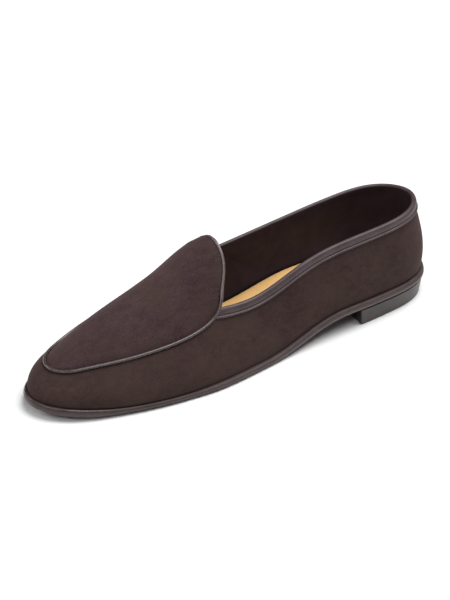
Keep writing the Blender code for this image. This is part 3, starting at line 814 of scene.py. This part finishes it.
outsoleTree = treeOf(outsole)
weltTree = treeOf(frame["nodes"]["welt"])
rim = evenOut(rimOfSole(outsoleTree), weltLook["rimPasses"])
ways = unitRows(np.roll(rim, -1, axis=0) - np.roll(rim, 1, axis=0))
outs = np.stack([-ways[:, 1], ways[:, 0]], axis=1)
outs *= np.sign((outs * (rim - rim.mean(axis=0))).sum(axis=1).mean())
ground, ledge, height = [], [], []
castFrom = weltLook["castFrom"] * mm
for spot, out in zip(rim, outs):
    ground.append(castDown(outsoleTree, spot - weltLook["ledgeInset"] * mm * out))
    start = Vector((*(spot + castFrom * out), ground[-1] + weltLook["wallHeight"] * mm))
    hit, normal, face, far = upperTree.ray_cast(start, Vector((*-out, 0)))
    ledge.append(far - castFrom)
    tops = [castDown(weltTree, spot - share * ledge[-1] * out) for share in weltLook["crestShares"]]
    height.append(weltLook["rollShare"] * (max(top for top in tops if top is not None) - ground[-1]))
passes = weltLook["profilePasses"]
ground, ledge, height = (evenOut(np.array(values), passes) for values in (ground, ledge, height))


def atBall(along, start, end, fade):
    return growFrom(along / mm, start, fade) * growFrom(-along / mm, -end, fade)


rows = []
for spot, out, low, wide, tall in zip(rim, outs, ground, ledge, height):
    wall = spot - wide * out
    flat = atBall(spot[1], *weltLook["ball"])
    section = (1 - flat) * np.array(weltLook["section"]) + flat * np.array(weltLook["ballSection"])
    rows.append([(*(wall + share * wide * out), low + rise * tall) for share, rise in section])
places = readPlaces(outsole)
index, far = nearestOn(rim, places[:, :2])
below = (ground[index] - places[:, 2]) / mm
near = np.clip(1 - far / (outsoleLook["undercutReach"] * mm), 0, 1)
# the edge is painted paler towards the floor, a painted reflection of the white floor
rimReflection = growFrom(below, *outsoleLook["rimReflectionBelow"]) * growFrom(near, *outsoleLook["rimReflectionRim"])
rimReflection *= growFrom(places[:, 1] / mm, *outsoleLook["rimReflectionAlong"])
markValues(outsole, "paintedReflection", outsoleLook["rimReflection"] * rimReflection)
lift = growFrom(below, *outsoleLook["undercutBelow"]) * near**2
lift *= atBall(places[:, 1], *outsoleLook["undercutBall"])
places[:, 2] += outsoleLook["undercut"] * mm * lift
writePlaces(outsole, places)
welt = sweptPiece("welt_roll", np.array(rows), closed=True)
smoothen(welt, weltLook["levels"])
markAlong(welt, np.column_stack([rim, ground]))
faded = growFrom(readPlaces(welt)[:, 1] / mm, weltLook["polishedTo"], weltLook["polishFade"])
markValues(welt, "polish", 1 - faded)
welt.data.materials.append(makeLeather("weltLeather", weltLook["leather"]))

heelLook = {
    "sharpAngle": 35,  # degrees, from which an edge stays sharp
    "leather": {
        "shade": (0.022, 0.0135, 0.0132), "bright": (0.036, 0.0235, 0.0230), "clouds": 120, "grain": 900,
        "roughness": 0.42, "specular": 0.45, "coat": 0.15, "grainStrength": 0.25,
    },
}
heel = copyNode("heel", "stacked_heel")
heel.data.materials.append(makeLeather("heelLeather", heelLook["leather"]))
activate(heel)
bpy.ops.object.shade_smooth_by_angle(angle=math.radians(heelLook["sharpAngle"]))
print("sole pieces done")

# stitches: one short thread, laid again and again along the binding and the tab; sizes in mm
stitchLook = {
    "radius": 0.23,
    "bindingLength": 1.25,
    "bindingPitch": 2.0,
    "bindingEnds": 2.0,  # left free at both ends
    "tabLength": 0.95,
    "tabPitch": 1.5,
    "tabEnds": 24.0,
    "tabInset": 1.5,  # inside the piping's middle line
    "tabMiddle": (-2, -30, 70),
    "castFrom": 8,  # above the tab, where rays to it start
    "castReach": 11,  # past which a hit isn't the tab
    "lookAhead": 0.5,
    # the thread is near black: its own dark colour with the painted shade of the stitch holes put into it
    "thread": {
        "shade": (0.003, 0.002, 0.002), "bright": (0.009, 0.006, 0.006), "twist": 2600,
        "roughness": 0.8, "specular": 0.15,
    },
}


def threadShape(length):
    bpy.ops.object.select_all(action="DESELECT")
    bpy.ops.mesh.primitive_uv_sphere_add(segments=6, ring_count=5, radius=stitchLook["radius"] * mm)
    ball = bpy.context.object
    shape = readPlaces(ball)[:, [2, 0, 1]]
    shape[:, 0] += np.sign(np.round(shape[:, 0], 9)) * (length / 2 - stitchLook["radius"]) * mm
    faces = [tuple(face.vertices) for face in ball.data.polygons]
    bpy.data.objects.remove(ball, do_unlink=True)
    return shape, faces


def layStitches(name, spots, length, material):
    shape, faces = threadShape(length)
    allPlaces = []
    allFaces = []
    for spot, way, normal in spots:
        side = np.cross(normal, way)
        turn = np.stack([way, side, normal])
        allFaces += [tuple(corner + len(allPlaces) * len(shape) for corner in face) for face in faces]
        allPlaces.append(spot + shape @ turn)
    stitches = meshPiece(name, np.concatenate(allPlaces), allFaces)
    bpy.ops.object.shade_smooth()
    stitches.data.materials.append(material)
    return stitches


def spotsAt(line, reach, stops):
    return np.stack([np.interp(stops, reach, line[:, axis]) for axis in range(3)], axis=1)


def spacedOn(line, pitch, ends):
    reach = lengthAlong(line)
    stops = np.arange(ends * mm, reach[-1] - ends * mm, pitch * mm)
    spots = spotsAt(line, reach, stops)
    ahead = spotsAt(line, reach, stops + stitchLook["lookAhead"] * mm)
    return zip(spots, unitRows(ahead - spots))


def makeThread(name, look):
    material, tree, shader, place = startMaterial(name)
    twist = noiseOn(tree, place, look["twist"], 2, 0.5)
    tone = mixColours(tree, rescale(tree, twist, 0.3, 0.7), look["shade"], look["bright"])
    tree.links.new(tone, shader.inputs["Base Color"])
    shader.inputs["Roughness"].default_value = look["roughness"]
    shader.inputs["Specular IOR Level"].default_value = look["specular"]
    return material


darkThread = makeThread("darkThread", stitchLook["thread"])
bindingTree = treeOf(binding)
spots = []
for spot, way in spacedOn(grooveLine, stitchLook["bindingPitch"], stitchLook["bindingEnds"]):
    near, normal, face, far = bindingTree.find_nearest(Vector(spot))
    spots.append((np.array(near), way, squareTo(way, normal)))
bindingStitches = layStitches("binding_stitches", spots, stitchLook["bindingLength"], darkThread)
print("binding stitches:", len(spots))

tabLine = seamLine[(outerThroat - 1) * seamSteps:(innerThroat + 1) * seamSteps]
spots = []
for spot, way in spacedOn(tabLine, stitchLook["tabPitch"], stitchLook["tabEnds"]):
    inward = squareTo(way, np.array(stitchLook["tabMiddle"]) * mm - spot)
    sewn = spot + stitchLook["tabInset"] * mm * inward
    away = outOfFoot(sewn[None])[0]
    start = sewn + stitchLook["castFrom"] * mm * away
    near, normal, face, far = upperTree.ray_cast(Vector(start), Vector(-away))
    if near is not None and far < stitchLook["castReach"] * mm:
        spots.append((np.array(near), way, squareTo(way, normal)))
tabStitches = layStitches("tab_stitches", spots, stitchLook["tabLength"], darkThread)
print("tab stitches:", len(spots))

# each piece rides on the shoe and stands for its solid
for piece, nodeName, slotName in (
    (upper, "upper", "suede"),
    (piping, "apron_piping", "trim_leather"),
    (binding, "collar_binding", "trim_leather"),
    (insole, "insole", "insole_leather"),
    (welt, "welt", "sole_leather"),
    (outsole, "outsole", "sole_leather"),
    (heel, "heel", "heel_leather"),
):
    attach(piece, "root")
    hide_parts(nodeName)
for stitches in (bindingStitches, tabStitches):
    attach(stitches, "root")

# floor, light and camera
stageLook = {
    "floorSize": 6.0,
    "floor": (0.90, 0.90, 0.90),
    "floorRoughness": 0.7,
    "air": 0.12,
    "aim": (0, 0, 0.03),
    "lights": (
        {"name": "topSoftbox", "at": (0.25, 0.80, 2.20), "wide": 2.2, "tall": 2.2, "power": 69},
        {"name": "frontSoftbox", "at": (0.95, -0.45, 1.25), "wide": 0.35, "tall": 0.35, "power": 3.3},
        {"name": "toeStrip", "at": (0.18, -1.20, 0.90), "wide": 1.35, "tall": 0.24, "power": 4.2},
        {"name": "innerSoftbox", "at": (-0.95, -1.00, 0.80), "wide": 0.6, "tall": 0.6, "power": 5},
    ),
}
bpy.ops.object.select_all(action="DESELECT")
bpy.ops.mesh.primitive_plane_add(size=stageLook["floorSize"])
floor = bpy.context.object
floor.name = "studio_floor"
floorMaterial = bpy.data.materials.new("paleFloor")
floorMaterial.use_nodes = True
floorShader = floorMaterial.node_tree.nodes["Principled BSDF"]
floorShader.inputs["Base Color"].default_value = (*stageLook["floor"], 1)
floorShader.inputs["Roughness"].default_value = stageLook["floorRoughness"]
floor.data.materials.append(floorMaterial)

world = bpy.data.worlds.new("studioAir")
bpy.context.scene.world = world
world.use_nodes = True
air = world.node_tree.nodes["Background"]
air.inputs["Color"].default_value = (1, 1, 1, 1)
air.inputs["Strength"].default_value = stageLook["air"]


def turnTo(thing, aim):
    thing.rotation_euler = (Vector(aim) - thing.location).to_track_quat("-Z", "Y").to_euler()


for lamp in stageLook["lights"]:
    bpy.ops.object.light_add(type="AREA", location=lamp["at"])
    light = bpy.context.object
    light.name = lamp["name"]
    light.data.shape = "ELLIPSE"
    light.data.size = lamp["wide"]
    light.data.size_y = lamp["tall"]
    light.data.energy = lamp["power"]
    turnTo(light, stageLook["aim"])
bpy.context.scene.view_settings.view_transform = "Standard"

cameraLook = {"at": (0.894, -0.596, 0.665), "aim": (0.0, -0.005, 0.030), "lens": 120, "nearest": 0.01}
bpy.ops.object.camera_add(location=cameraLook["at"])
camera = bpy.context.object
turnTo(camera, cameraLook["aim"])
camera.data.lens = cameraLook["lens"]
camera.data.clip_start = cameraLook["nearest"]
bpy.context.scene.camera = camera
print("stage set")
